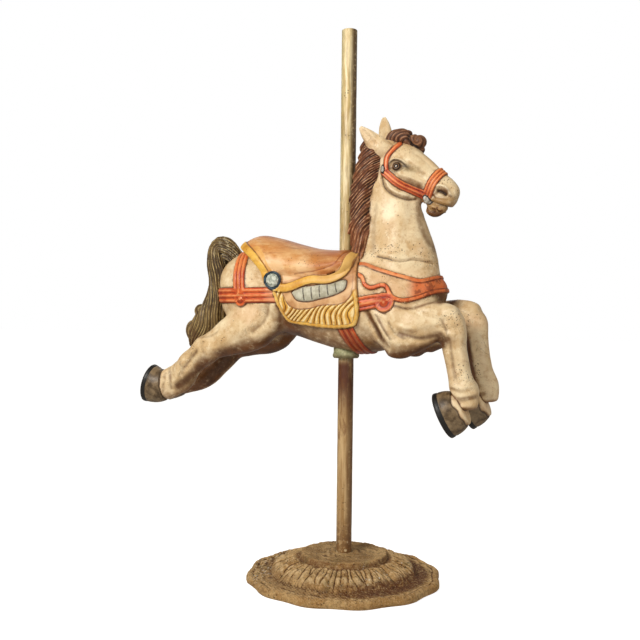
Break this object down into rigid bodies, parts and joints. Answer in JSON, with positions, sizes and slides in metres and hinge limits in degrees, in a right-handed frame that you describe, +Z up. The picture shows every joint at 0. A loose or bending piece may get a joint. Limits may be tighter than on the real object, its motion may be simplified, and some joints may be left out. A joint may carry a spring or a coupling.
{
  "type": "carousel horse on a stand",
  "caption": "Jumping carousel horse with carved saddle, harness, mane and tail, held by a pole on a round cast foot.",
  "frame": {"origin": "centre of the foot's underside, on the pole's axis", "axes": "+X is the way the horse faces, +Y is its left side and +Z is up"},
  "size_m": [1.2188, 0.64, 1.808],
  "materials": {
    "painted_wood": "aged cream paint, satin, with orange straps, yellow trim and brown hair",
    "painted_pole": "worn cream paint with green and brown streaks",
    "painted_collar": "dull green",
    "cast_foot": "gritty tan brown",
    "jewel_glass": "clear, cut"
  },
  "bodies": {
    "root": {"horse": "painted_wood", "pole": "painted_pole", "collar": "painted_collar", "foot": "cast_foot", "jewel": "jewel_glass"}
  },
  "joints": []
}
